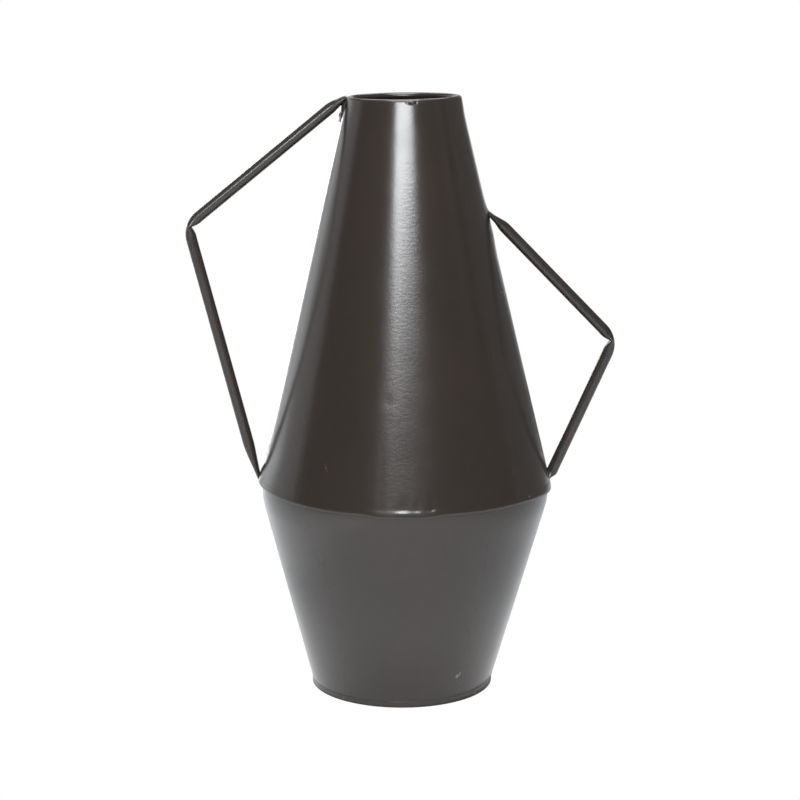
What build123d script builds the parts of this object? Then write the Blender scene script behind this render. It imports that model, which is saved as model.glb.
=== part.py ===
from build123d import *
from dataclasses import dataclass
from math import asin, atan2, cos, degrees, radians, sin, tan
import os

# Urn vase of lacquered iron sheet: two cones lapped at a waist, a rolled rim, a base pan and two tube handles.
# Millimetres, +Z up, origin at the centre of the base's underside, both handles in the XZ plane.

# Body
overall_height = 411.3  # floor to the top of the rolled rim
mouth_diameter = 77.4  # over the rolled rim
waist_diameter = 201.8  # over the skirt, the lower edge of the upper cone
waist_height = 145.7  # skirt edge above the floor
foot_diameter = 125.5  # over the straight foot of the lower cone
sheet = 1.0  # iron sheet of both cones and of the base pan
bend_inside = 1.0  # inside radius of the bend above the foot

# Rolled rim
rim_wire_diameter = 2.4  # wire that the rim is rolled round
wire_play = 0.1  # between the wire and the roll
roll_sweep = 250.0  # degrees that the sheet wraps the wire

# Waist lap, measured up the wall from the skirt edge
collar_reach = 9.0  # top of the lower cone's collar
knee_drop = 5.0  # corner of the lower cone's bend, below the skirt edge
knee_bend = 36.0  # outside radius of that bend
lap_gap = 0.2  # between the collar and the skirt
waist_solder_leg = 2.5

# Foot
flange_height = 2.6  # of the base pan, turned up round the foot
flange_gap = 0.1  # between the flange and the foot
flange_reveal = 0.3  # straight foot left showing above the flange
pan_round = 0.8  # outer corner of the base pan
base_solder_leg = 2.5

# Side seams
seam_width = 3.0
seam_height = 0.8
seam_margin = 1.0  # from each end of a seam bead to what it stops at
bead_gap = 0.25  # between an inner bead and the curved wall behind it

# Handle tube
tube_diameter = 7.6
tube_wall = 1.0
bend_radius = 16.0  # of the tube's axis in the elbow
pinch_gap = 1.4  # inside gap at the pinched elbow
pinch_sharpness = 3.0  # how late in the bend the tube is pinched
spread = 0.55  # width gained for each millimetre that the tube is flattened
elbow_steps = 5
flat_steps = 3
end_overrun = 9.0  # tube left past the wall before its end is cut to fit
bore_overrun = 1.0  # bore past the end of the tube
braze_gap = 0.15  # between the cut ends and the wall

# High handle on the left, from the rim to the skirt
left_elbow_out = 46.5  # elbow beyond the waist
left_elbow_rise = 177.0  # elbow above the skirt edge
left_top_lift = 0.1  # tube's axis above the rim where it reaches it
left_top_flat = 16.0  # length that is pressed flat
left_top_gap = 0.2  # inside gap left at the tip
left_top_shift = -3.2  # tip from the axis, negative to the inside of the bend
left_low_rise = -1.8  # foot of the tube's axis from the skirt edge
left_low_flat = 30.0
left_low_gap = 0.8
left_low_shift = -1.2

# Low handle on the right, from the wall to the skirt
right_elbow_out = 42.9
right_elbow_rise = 98.1
right_top_drop = 77.7  # foot of the tube's axis below the rim
right_top_flat = 18.0
right_top_gap = 1.8
right_top_shift = -1.4
right_low_rise = 0.4
right_low_flat = 5.5
right_low_gap = 1.0
right_low_shift = -0.7

# Weld beads at the handle ends
weld_margin = 1.6  # bead past each edge of the flattened tube
weld_height = 2.4  # bead proud of the wall
rim_weld_drop = 9.1  # middle of the rim's bead below the top of the rim
wall_weld_drop = 2.0  # middle of the right upper bead below the foot of the tube's axis
low_weld_rise = 4.5  # middle of each lower bead above the skirt edge

# Wall of the upper cone: a line from the skirt edge that runs into the rolled rim
roll_radius = rim_wire_diameter / 2 + wire_play + sheet
rim_centre = Vector(mouth_diameter / 2 - roll_radius, overall_height - roll_radius)
skirt_edge = Vector(waist_diameter / 2, waist_height)
rise = rim_centre - skirt_edge
wall_lean = degrees(atan2(-rise.X, rise.Y) - asin(roll_radius / rise.length))
wall_up = Vector(-sin(radians(wall_lean)), cos(radians(wall_lean)))
wall_out = Vector(cos(radians(wall_lean)), sin(radians(wall_lean)))
wall_length = rise.dot(wall_up)

# Lower cone: straight foot, flare and collar
foot_radius = foot_diameter / 2
foot_top = flange_height + flange_reveal
pan_radius = foot_radius + flange_gap + sheet

left = -1
right = 1


def wall_point(along, inward):
    return skirt_edge + wall_up * along - wall_out * inward


def wall_at(height, inward):
    return wall_point((height - waist_height) / wall_up.Y, inward)


def beside(side, point):
    return Vector(side * point.X, 0, point.Y)


@dataclass
class TubeEnd:
    foot: Vector  # where the tube's axis meets the body
    flat: float
    gap: float
    shift: float

    @property
    def thickness(self):
        return 2 * tube_wall + self.gap

    @property
    def width(self):
        return flattened_width(self.thickness)


def flattened_width(thickness):
    return tube_diameter + spread * (tube_diameter - thickness)


def ease(share):
    return share * share * (3 - 2 * share)


def tube_form(elbow, ends, inset):
    toward_body = (ends[0].foot - elbow).normalized() + (ends[1].foot - elbow).normalized()
    toward_body = toward_body.normalized()
    pinch = 2 * tube_wall + pinch_gap
    with BuildPart() as form:
        for end in ends:
            run = (end.foot - elbow).normalized()
            half_turn = 90 - run.get_angle(toward_body)
            bend_centre = elbow + toward_body * (bend_radius / cos(radians(half_turn)))
            sideways = (run - toward_body * run.dot(toward_body)).normalized()

            # Half of the elbow, from the pinch to the straight run
            for step in range(elbow_steps + 1):
                share = step / elbow_steps
                angle = radians(half_turn * share)
                outward = sideways * sin(angle) - toward_body * cos(angle)
                along = sideways * cos(angle) + toward_body * sin(angle)
                thickness = tube_diameter - (tube_diameter - pinch) * (1 - share) ** pinch_sharpness
                middle = bend_centre + outward * (bend_radius + (tube_diameter - thickness) / 2)
                with BuildSketch(Plane(middle, x_dir=(0, 1, 0), z_dir=along)):
                    Ellipse(flattened_width(thickness) / 2 - inset, thickness / 2 - inset)
            loft()

            # Straight run
            run_start = bend_centre + outward * bend_radius
            run_length = (end.foot - run_start).length - end.flat
            with BuildSketch(Plane(run_start, x_dir=(0, 1, 0), z_dir=run)):
                Circle(tube_diameter / 2 - inset)
            extrude(amount=run_length)

            # Flattened end
            for step in range(flat_steps + 1):
                share = step / flat_steps
                thickness = tube_diameter + (end.thickness - tube_diameter) * ease(share)
                middle = run_start + run * (run_length + end.flat * share) + outward * end.shift * share**2
                with BuildSketch(Plane(middle, x_dir=(0, 1, 0), z_dir=run)):
                    Ellipse(flattened_width(thickness) / 2 - inset, thickness / 2 - inset)
            loft()
            with BuildSketch(Plane(middle, x_dir=(0, 1, 0), z_dir=run)):
                Ellipse(end.width / 2 - inset, end.thickness / 2 - inset)
            extrude(amount=end_overrun + (bore_overrun if inset else 0))
    return form.part


# Upper cone with its rolled rim
with BuildPart() as upper_cone:
    with BuildSketch(Plane.XZ):
        with BuildLine():
            Line(skirt_edge, wall_point(wall_length, 0))
            roll_outside = CenterArc(rim_centre, roll_radius, wall_lean, roll_sweep)
            roll_inside = CenterArc(rim_centre, roll_radius - sheet, wall_lean, roll_sweep)
            Line(roll_outside @ 1, roll_inside @ 1)
            Polyline(roll_inside @ 0, wall_point(0, sheet), skirt_edge)
        make_face()
    revolve(axis=Axis.Z)

# Wire inside the rolled rim
with BuildPart() as rim_wire:
    with BuildSketch(Plane.XZ):
        with Locations(rim_centre):
            Circle(rim_wire_diameter / 2)
    revolve(axis=Axis.Z)

# Lower cone, bent into a straight foot below and a collar above
knee = wall_point(-knee_drop, sheet + lap_gap)
collar_top = wall_point(collar_reach, sheet + lap_gap)
with BuildPart() as lower_cone:
    with BuildSketch(Plane.XZ):
        with BuildLine():
            FilletPolyline(
                (foot_radius, sheet),
                (foot_radius, foot_top),
                knee,
                collar_top,
                radius=[sheet + bend_inside, knee_bend],
            )
            offset(amount=sheet, side=Side.LEFT)
        make_face()
    revolve(axis=Axis.Z)

# Base pan
with BuildPart() as base_pan:
    with BuildSketch(Plane.XZ):
        with BuildLine():
            Polyline(
                (0, 0),
                (pan_radius, 0),
                (pan_radius, flange_height),
                (pan_radius - sheet, flange_height),
                (pan_radius - sheet, sheet),
                (0, sheet),
                close=True,
            )
        make_face()
    revolve(axis=Axis.Z)
    outer_corner = base_pan.edges().filter_by(GeomType.CIRCLE).group_by(Axis.Z)[0]
    fillet(outer_corner, min(pan_round, 0.9 * sheet))

# Solder ring on top of the collar, inside the waist
with BuildPart() as waist_solder:
    with BuildSketch(Plane.XZ):
        with BuildLine():
            Polyline(
                wall_point(collar_reach, sheet + bead_gap),
                wall_point(collar_reach + waist_solder_leg, sheet + bead_gap),
                wall_point(collar_reach, 2 * sheet + lap_gap),
                close=True,
            )
        make_face()
    revolve(axis=Axis.Z)

# Solder ring in the corner of the foot
with BuildPart() as base_solder:
    with BuildSketch(Plane.XZ):
        with BuildLine():
            Polyline(
                (foot_radius - sheet, sheet),
                (foot_radius - sheet, sheet + base_solder_leg),
                (foot_radius - sheet - base_solder_leg, sheet),
                close=True,
            )
        make_face()
    revolve(axis=Axis.Z)

# Space inside each cone, which the seam beads are cut to
with BuildPart() as upper_space:
    with BuildSketch(Plane.XZ):
        with BuildLine():
            Polyline(
                (0, waist_height),
                wall_point(0, sheet + bead_gap),
                wall_point(wall_length, sheet + bead_gap),
                (0, overall_height),
                close=True,
            )
        make_face()
    revolve(axis=Axis.Z)

flare = (knee - Vector(foot_radius, foot_top)).normalized()
flare_inward = Vector(-flare.Y, flare.X)
flare_low = Vector(foot_radius, foot_top) + flare_inward * (sheet + bead_gap)
flare_high = knee + flare_inward * (sheet + bead_gap)
with BuildPart() as lower_space:
    with BuildSketch(Plane.XZ):
        with BuildLine():
            Polyline((0, flare_low.Y), flare_low, flare_high, (0, flare_high.Y), close=True)
        make_face()
    revolve(axis=Axis.Z)

# Bead inside the upper cone's side seam, at the front
upper_seam_low = collar_reach + waist_solder_leg + seam_margin
upper_seam_high = wall_length - roll_radius - seam_margin
upper_seam_start = wall_point(upper_seam_low, sheet + bead_gap)
with BuildPart() as upper_seam_weld:
    with BuildSketch(
        Plane(
            (0, -upper_seam_start.X, upper_seam_start.Y),
            x_dir=(1, 0, 0),
            z_dir=(0, -wall_up.X, wall_up.Y),
        )
    ):
        Ellipse(seam_width / 2, seam_height)
    extrude(amount=upper_seam_high - upper_seam_low)
    add(upper_space.part, mode=Mode.INTERSECT)

# Bead inside the lower cone's side seam, at the back
foot_room = sheet + bend_inside + seam_margin
knee_room = knee_bend * tan(radians(flare.get_angle(wall_up) / 2)) + seam_margin
lower_seam_start = flare_low + flare * foot_room
with BuildPart() as lower_seam_weld:
    with BuildSketch(
        Plane(
            (0, lower_seam_start.X, lower_seam_start.Y),
            x_dir=(1, 0, 0),
            z_dir=(0, flare.X, flare.Y),
        )
    ):
        Ellipse(seam_width / 2, seam_height)
    extrude(amount=(flare_high - flare_low).length - foot_room - knee_room)
    add(lower_space.part, mode=Mode.INTERSECT)

# Filled form of the upper cone, which the weld beads lie on
with BuildPart() as upper_form:
    with BuildSketch(Plane.XZ):
        with BuildLine():
            Polyline((0, waist_height), skirt_edge, wall_point(wall_length, 0))
            crest = CenterArc(rim_centre, roll_radius, wall_lean, 90 - wall_lean)
            Polyline(crest @ 1, (0, overall_height), (0, waist_height))
        make_face()
    revolve(axis=Axis.Z)

# Form that the handle ends are cut back to: the wall, carried straight up past the rim
cut_low = wall_point(-end_overrun, -braze_gap)
cut_high = wall_point(wall_length, -braze_gap)
with BuildPart() as cut_form:
    with BuildSketch(Plane.XZ):
        with BuildLine():
            Polyline(
                (0, cut_low.Y),
                cut_low,
                cut_high,
                (cut_high.X, overall_height + tube_diameter),
                (0, overall_height + tube_diameter),
                close=True,
            )
        make_face()
    revolve(axis=Axis.Z)

# High handle on the left
left_elbow = Vector(left * (waist_diameter / 2 + left_elbow_out), 0, waist_height + left_elbow_rise)
left_top = TubeEnd(
    beside(left, Vector(cut_high.X, overall_height + left_top_lift)),
    left_top_flat,
    left_top_gap,
    left_top_shift,
)
left_low = TubeEnd(
    beside(left, wall_at(waist_height + left_low_rise, 0)),
    left_low_flat,
    left_low_gap,
    left_low_shift,
)
left_form = tube_form(left_elbow, (left_top, left_low), 0)
with BuildPart() as left_handle:
    add(left_form)
    add(tube_form(left_elbow, (left_top, left_low), tube_wall), mode=Mode.SUBTRACT)
    add(cut_form.part, mode=Mode.SUBTRACT)
    split(bisect_by=Plane.XY.offset(waist_height), keep=Keep.TOP)
    split(bisect_by=Plane.XY.offset(overall_height), keep=Keep.BOTTOM)

# Low handle on the right
right_elbow = Vector(right * (waist_diameter / 2 + right_elbow_out), 0, waist_height + right_elbow_rise)
right_top_height = overall_height - right_top_drop
right_top = TubeEnd(
    beside(right, wall_at(right_top_height, 0)),
    right_top_flat,
    right_top_gap,
    right_top_shift,
)
right_low = TubeEnd(
    beside(right, wall_at(waist_height + right_low_rise, 0)),
    right_low_flat,
    right_low_gap,
    right_low_shift,
)
right_form = tube_form(right_elbow, (right_top, right_low), 0)
with BuildPart() as right_handle:
    add(right_form)
    add(tube_form(right_elbow, (right_top, right_low), tube_wall), mode=Mode.SUBTRACT)
    add(cut_form.part, mode=Mode.SUBTRACT)
    split(bisect_by=Plane.XY.offset(waist_height), keep=Keep.TOP)


# Weld beads: each is the cap of a ball that stands out of the wall round a handle end
def weld_ball(end):
    half_width = end.width / 2 + weld_margin
    return (half_width**2 + weld_height**2) / (2 * weld_height)


def weld_centre(side, height, ball):
    return beside(side, wall_at(height, ball - weld_height))


with BuildPart() as left_top_weld:
    ball = weld_ball(left_top)
    with Locations(weld_centre(left, overall_height - rim_weld_drop, ball)):
        Sphere(ball)
    add(upper_form.part, mode=Mode.SUBTRACT)
    add(left_form, mode=Mode.SUBTRACT)
    split(bisect_by=Plane.XY.offset(overall_height), keep=Keep.BOTTOM)

with BuildPart() as left_low_weld:
    ball = weld_ball(left_low)
    with Locations(weld_centre(left, waist_height + low_weld_rise, ball)):
        Sphere(ball)
    add(upper_form.part, mode=Mode.SUBTRACT)
    add(left_form, mode=Mode.SUBTRACT)
    split(bisect_by=Plane.XY.offset(waist_height), keep=Keep.TOP)

with BuildPart() as right_top_weld:
    ball = weld_ball(right_top)
    with Locations(weld_centre(right, right_top_height - wall_weld_drop, ball)):
        Sphere(ball)
    add(upper_form.part, mode=Mode.SUBTRACT)
    add(right_form, mode=Mode.SUBTRACT)

with BuildPart() as right_low_weld:
    ball = weld_ball(right_low)
    with Locations(weld_centre(right, waist_height + low_weld_rise, ball)):
        Sphere(ball)
    add(upper_form.part, mode=Mode.SUBTRACT)
    add(right_form, mode=Mode.SUBTRACT)
    split(bisect_by=Plane.XY.offset(waist_height), keep=Keep.TOP)

pieces = {
    "upper_cone": upper_cone,
    "rim_wire": rim_wire,
    "lower_cone": lower_cone,
    "base_pan": base_pan,
    "waist_solder": waist_solder,
    "base_solder": base_solder,
    "upper_seam_weld": upper_seam_weld,
    "lower_seam_weld": lower_seam_weld,
    "left_handle": left_handle,
    "right_handle": right_handle,
    "left_top_weld": left_top_weld,
    "left_low_weld": left_low_weld,
    "right_top_weld": right_top_weld,
    "right_low_weld": right_low_weld,
}
os.makedirs("parts", exist_ok=True)
for name, piece in pieces.items():
    piece.part.label = name
    export_step(piece.part, f"parts/{name}.step")
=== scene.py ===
import math
import bmesh
import bpy
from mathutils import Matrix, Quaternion, Vector, noise


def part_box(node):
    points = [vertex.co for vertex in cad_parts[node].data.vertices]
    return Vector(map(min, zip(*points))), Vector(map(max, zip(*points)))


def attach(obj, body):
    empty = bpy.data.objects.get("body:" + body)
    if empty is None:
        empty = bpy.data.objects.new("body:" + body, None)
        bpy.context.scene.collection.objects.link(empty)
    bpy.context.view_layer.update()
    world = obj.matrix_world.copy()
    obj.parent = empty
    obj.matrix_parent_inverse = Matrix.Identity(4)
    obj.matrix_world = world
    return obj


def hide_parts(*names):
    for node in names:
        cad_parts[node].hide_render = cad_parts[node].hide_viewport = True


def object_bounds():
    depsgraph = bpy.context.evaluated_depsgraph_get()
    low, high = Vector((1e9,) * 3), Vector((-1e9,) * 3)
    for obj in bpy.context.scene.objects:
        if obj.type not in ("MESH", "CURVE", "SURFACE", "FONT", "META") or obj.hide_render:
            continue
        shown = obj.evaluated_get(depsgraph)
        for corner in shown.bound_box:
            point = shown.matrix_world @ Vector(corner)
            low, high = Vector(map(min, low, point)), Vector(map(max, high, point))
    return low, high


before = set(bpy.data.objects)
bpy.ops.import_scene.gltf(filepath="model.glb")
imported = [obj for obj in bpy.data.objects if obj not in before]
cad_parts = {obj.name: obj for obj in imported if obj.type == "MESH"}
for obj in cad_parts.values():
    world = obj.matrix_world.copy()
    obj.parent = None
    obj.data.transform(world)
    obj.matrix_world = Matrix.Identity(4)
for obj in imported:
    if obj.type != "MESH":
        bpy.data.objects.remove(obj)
cadLow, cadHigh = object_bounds()
mm = 0.001
scene = bpy.context.scene
white = (1, 1, 1, 1)
print("frame loaded:", len(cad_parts), "nodes")

# Lines of the body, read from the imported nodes. Outline points are (radius, height) in metres,
# and a turn is measured round the vase from the front, positive to the right.
bodyLines = {
    "sheet": 1.0 * mm,
    "skirtHeight": 145.7 * mm,  # lower edge of the upper cone
    "lapGap": 0.2 * mm,  # between the skirt and the collar inside it
    "kneeDrop": 5.0 * mm,  # corner of the lower cone's bend, below the skirt edge
    "collarReach": 9.0 * mm,
    "flangeGap": 0.1 * mm,
    "footTop": 2.9 * mm,  # where the lower cone starts to flare
}
sheet = bodyLines["sheet"]
coneLow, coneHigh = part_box("upper_cone")
wireLow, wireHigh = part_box("rim_wire")
panLow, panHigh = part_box("base_pan")
wireRadius = (wireHigh.z - wireLow.z) / 2
rollCentre = Vector((wireHigh.x - wireRadius, wireLow.z + wireRadius))
rollRadius = coneHigh.z - rollCentre.y
skirtEdge = Vector((coneHigh.x, bodyLines["skirtHeight"]))
rise = rollCentre - skirtEdge
wallLean = math.atan2(-rise.x, rise.y) - math.asin(rollRadius / rise.length)
wallUp = Vector((-math.sin(wallLean), math.cos(wallLean)))
wallOut = Vector((math.cos(wallLean), math.sin(wallLean)))
wallLength = rise.dot(wallUp)
footRadius = panHigh.x - sheet - bodyLines["flangeGap"]


def wallPoint(along, out):
    return skirtEdge + wallUp * along + wallOut * out


def wallRadius(height):
    return skirtEdge.x - (height - skirtEdge.y) * math.tan(wallLean)


def spin(turn, point):
    return Vector((point.x * math.sin(turn), -point.x * math.cos(turn), point.y))


def turns(count):
    return [2 * math.pi * step / count for step in range(count)]


rollTangent = wallPoint(wallLength, 0)  # where the wall runs into the rolled rim
kneeAt = wallPoint(-bodyLines["kneeDrop"], -sheet - bodyLines["lapGap"])


# The hand-made wall: its axis leans, it is a little hollow above the skirt, and the rim isn't level
wallShape = {
    "lean": (0.67 * mm, -0.88 * mm),  # shift to the right at the skirt and at the rim
    "hollow": 0.50 * mm,
    "hollowAt": 215 * mm,
    "hollowReach": 105 * mm,
    "flareReach": (3.0 * mm, 5.3 * mm),  # over which the skirt's edge turns out
    "rimDrop": 0.71 * mm,  # mean of the rim below its highest point
    "rimTilt": (0.45 * mm, 0.54 * mm),  # rim raised to the right and to the front
    "rimFade": 70 * mm,
    "lowerLean": (-1.6 * mm, 0.8 * mm),  # of the lower cone, at the floor and at the skirt
}


def smooth(low, high, value):
    share = min(1, max(0, (value - low) / (high - low)))
    return share * share * (3 - 2 * share)


def waveSum(waves, turn, height):  # each wave: times round, climb for each metre, phase, strength
    total = 0
    for times, climb, phase, strength in waves:
        total += strength * math.sin(times * turn + climb * height + phase)
    return total


def leanAt(height):
    low, high = wallShape["lean"]
    return low + (high - low) * (height - skirtEdge.y) / (cadHigh.z - skirtEdge.y)


def hollowAt(height):
    apart = (height - wallShape["hollowAt"]) / wallShape["hollowReach"]
    return wallShape["hollow"] * math.exp(-apart * apart)


def rimDrop(turn):
    right, front = wallShape["rimTilt"]
    return wallShape["rimDrop"] - right * math.sin(turn) - front * math.cos(turn)


def onWall(turn, height, out):
    point = wallPoint((height - skirtEdge.y) / wallUp.y, out) - Vector((hollowAt(height), 0))
    place = spin(turn, point)
    place.x += leanAt(height)
    return place


# Outline helpers
def stretch(start, end, count):
    return [start.lerp(end, step / count) for step in range(count)]


def arc(centre, radius, start, sweep, count):
    angles = [start + sweep * step / count for step in range(count + 1)]
    return [centre + Vector((math.cos(a), math.sin(a))) * radius for a in angles]


def roundCorner(before, corner, after, radius, count):
    back = (before - corner).normalized()
    ahead = (after - corner).normalized()
    half = back.angle(ahead) / 2
    centre = corner + (back + ahead).normalized() * radius / math.sin(half)
    start = corner + back * radius / math.tan(half) - centre
    end = corner + ahead * radius / math.tan(half) - centre
    first = math.atan2(start.y, start.x)
    sweep = math.atan2(start.x * end.y - start.y * end.x, start.dot(end))
    return arc(centre, radius, first, sweep, count)


# Mesh helpers
def ringFaces(rings, around, loop):
    faces = []
    for ring in range(rings if loop else rings - 1):
        here = ring * around
        there = (ring + 1) % rings * around
        for step in range(around):
            after = (step + 1) % around
            faces.append((here + step, here + after, there + after, there + step))
    return faces


def shutEnds(points, faces, rings, around):  # a fan to a middle point closes each end
    for start in (0, (rings - 1) * around):
        ring = points[start:start + around]
        points.append(sum(ring, Vector((0, 0, 0))) / around)
        for step in range(around):
            faces.append((start + step, start + (step + 1) % around, len(points) - 1))


def addMesh(name, points, faces):
    mesh = bpy.data.meshes.new(name)
    mesh.from_pydata(points, [], faces)
    thing = bpy.data.objects.new(name, mesh)
    scene.collection.objects.link(thing)
    return thing


def makePiece(name, points, faces, wear=()):  # points without a wear value aren't rubbed
    piece = addMesh(name, points, faces)
    mesh = piece.data
    work = bmesh.new()
    work.from_mesh(mesh)
    bmesh.ops.recalc_face_normals(work, faces=work.faces)
    work.to_mesh(mesh)
    work.free()
    mesh.polygons.foreach_set("use_smooth", [True] * len(mesh.polygons))
    rubbed = mesh.attributes.new("wear", "FLOAT", "POINT")
    rubbed.data.foreach_set("value", list(wear) + [0.0] * (len(points) - len(wear)))
    print(name + ":", len(faces), "faces")
    return piece


def setOnFrame(piece, slotName, material, *nodes):
    piece.data.materials.append(material)
    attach(piece, "root")
    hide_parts(*nodes)


# Material helpers
def startGroup(name, inputs, outputs):
    tree = bpy.data.node_groups.new(name, "ShaderNodeTree")
    for label, kind, value in inputs:
        tree.interface.new_socket(label, in_out="INPUT", socket_type=kind).default_value = value
    for label, kind in outputs:
        tree.interface.new_socket(label, in_out="OUTPUT", socket_type=kind)
    return tree, tree.nodes.new("NodeGroupInput"), tree.nodes.new("NodeGroupOutput")


def addNode(tree, kind, values=None, **options):
    node = tree.nodes.new(kind)
    for label, value in options.items():
        setattr(node, label, value)
    for socket, value in (values or {}).items():
        if isinstance(value, bpy.types.NodeSocket):
            tree.links.new(value, node.inputs[socket])
        else:
            node.inputs[socket].default_value = value
    return node


def addMath(tree, operation, first, second, clamp=False):
    node = addNode(tree, "ShaderNodeMath", {0: first, 1: second}, operation=operation, use_clamp=clamp)
    return node.outputs[0]


def addNoise(tree, place, scale, detail=2.0, rough=0.5):
    values = {"Vector": place, "Scale": scale, "Detail": detail, "Roughness": rough}
    return addNode(tree, "ShaderNodeTexNoise", values).outputs["Fac"]


def addRange(tree, value, low, high, toLow, toHigh):
    values = {"Value": value, "From Min": low, "From Max": high, "To Min": toLow, "To Max": toHigh}
    return addNode(tree, "ShaderNodeMapRange", values, interpolation_type="SMOOTHSTEP").outputs["Result"]


def addMix(tree, factor, first, second):
    values = {0: factor, 6: first, 7: second}
    return addNode(tree, "ShaderNodeMix", values, data_type="RGBA").outputs[2]


def addGroup(tree, group, values):
    return addNode(tree, "ShaderNodeGroup", values, node_tree=group).outputs


def objectPlace(tree):
    return tree.nodes.new("ShaderNodeTexCoord").outputs["Object"]


floatKind, colourKind, vectorKind = "NodeSocketFloat", "NodeSocketColor", "NodeSocketVector"


# Fine skin of a brushed and sprayed lacquer: small even dimples over slow waves
def makeOrangePeel():
    tree, enter, leave = startGroup(
        "orangePeel",
        [("Grain", floatKind, 430.0), ("Wave", floatKind, 110.0)],
        [("Height", floatKind)],
    )
    values = {0: objectPlace(tree), 1: (0.75, 0.75, 1.4)}  # drawn out sideways
    place = addNode(tree, "ShaderNodeVectorMath", values, operation="MULTIPLY").outputs[0]
    fine = addNoise(tree, place, enter.outputs["Grain"], 1.5)
    slow = addNoise(tree, place, enter.outputs["Wave"], 1.0)
    height = addMath(tree, "ADD", addMath(tree, "MULTIPLY", slow, 0.7), fine)
    tree.links.new(height, leave.inputs["Height"])
    return tree


# Lacquer colour that drifts over the wall, with slightly duller clouds
def makeLacquerTone():
    tree, enter, leave = startGroup(
        "lacquerTone",
        [
            ("Deep", colourKind, (0.03, 0.024, 0.02, 1)),
            ("Thin", colourKind, (0.04, 0.03, 0.024, 1)),
            ("Cloud", floatKind, 14.0),
            ("Gloss", floatKind, 0.2),
            ("Dull", floatKind, 0.25),
        ],
        [("Color", colourKind), ("Roughness", floatKind)],
    )
    place = objectPlace(tree)
    drift = addNoise(tree, place, enter.outputs["Cloud"], 3.0, 0.55)
    mottle = addNoise(tree, place, addMath(tree, "MULTIPLY", enter.outputs["Cloud"], 11.0), 2.0)
    broad = addMath(tree, "MULTIPLY", drift, 0.7)
    blend = addMath(tree, "ADD", broad, addMath(tree, "MULTIPLY", mottle, 0.3))
    spread = addRange(tree, blend, 0.36, 0.64, 0.0, 1.0)
    tree.links.new(addMix(tree, spread, enter.outputs["Deep"], enter.outputs["Thin"]), leave.inputs["Color"])
    haze = addRange(tree, addNoise(tree, place, 37.0, 3.0, 0.6), 0.35, 0.7, 0.0, 1.0)
    span = addMath(tree, "SUBTRACT", enter.outputs["Dull"], enter.outputs["Gloss"])
    rough = addMath(tree, "ADD", addMath(tree, "MULTIPLY", haze, span), enter.outputs["Gloss"])
    tree.links.new(rough, leave.inputs["Roughness"])
    return tree


# Rubbed edges: the mesh says where hands and cloths reach, noise breaks it up
def makeEdgeRub():
    tree, enter, leave = startGroup(
        "edgeRub",
        [("Break", floatKind, 420.0), ("Amount", floatKind, 0.5)],
        [("Mask", floatKind)],
    )
    rubbed = addNode(tree, "ShaderNodeAttribute", attribute_name="wear").outputs["Fac"]
    grit = addNoise(tree, objectPlace(tree), enter.outputs["Break"], 3.0, 0.6)
    reach = addMath(tree, "MULTIPLY", rubbed, enter.outputs["Amount"])
    broken = addMath(tree, "MULTIPLY", reach, addMath(tree, "ADD", grit, 0.4))
    tree.links.new(addRange(tree, broken, 0.3, 0.9, 0.0, 1.0), leave.inputs["Mask"])
    return tree


# One small round mark at a place on the surface
def makeFleck():
    tree, enter, leave = startGroup(
        "fleck",
        [
            ("Place", vectorKind, (0, 0, 0)),
            ("Stretch", vectorKind, (1, 1, 1)),
            ("Size", floatKind, 0.001),
            ("Strength", floatKind, 1.0),
        ],
        [("Mask", floatKind)],
    )
    place = objectPlace(tree)
    wobble = addNoise(tree, place, 900.0, 2.0)
    apart = addNode(tree, "ShaderNodeVectorMath", {0: place, 1: enter.outputs["Place"]}, operation="SUBTRACT")
    drawn = addNode(tree, "ShaderNodeVectorMath", {0: apart.outputs[0], 1: enter.outputs["Stretch"]},
                    operation="MULTIPLY")
    reach = addNode(tree, "ShaderNodeVectorMath", {0: drawn.outputs[0]}, operation="LENGTH")
    share = addMath(tree, "DIVIDE", reach.outputs["Value"], enter.outputs["Size"])
    ragged = addMath(tree, "ADD", share, addMath(tree, "MULTIPLY", wobble, 0.6))
    mask = addMath(tree, "MULTIPLY", addRange(tree, ragged, 0.7, 1.3, 1.0, 0.0), enter.outputs["Strength"])
    tree.links.new(mask, leave.inputs["Mask"])
    return tree


orangePeel = makeOrangePeel()
lacquerTone = makeLacquerTone()
edgeRub = makeEdgeRub()
fleck = makeFleck()


def startMaterial(name):
    material = bpy.data.materials.new(name)
    material.use_nodes = True
    tree = material.node_tree
    return material, tree, tree.nodes["Principled BSDF"]


def feed(tree, shader, **sources):
    for label, source in sources.items():
        tree.links.new(source, shader.inputs[label.replace("_", " ")])


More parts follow.
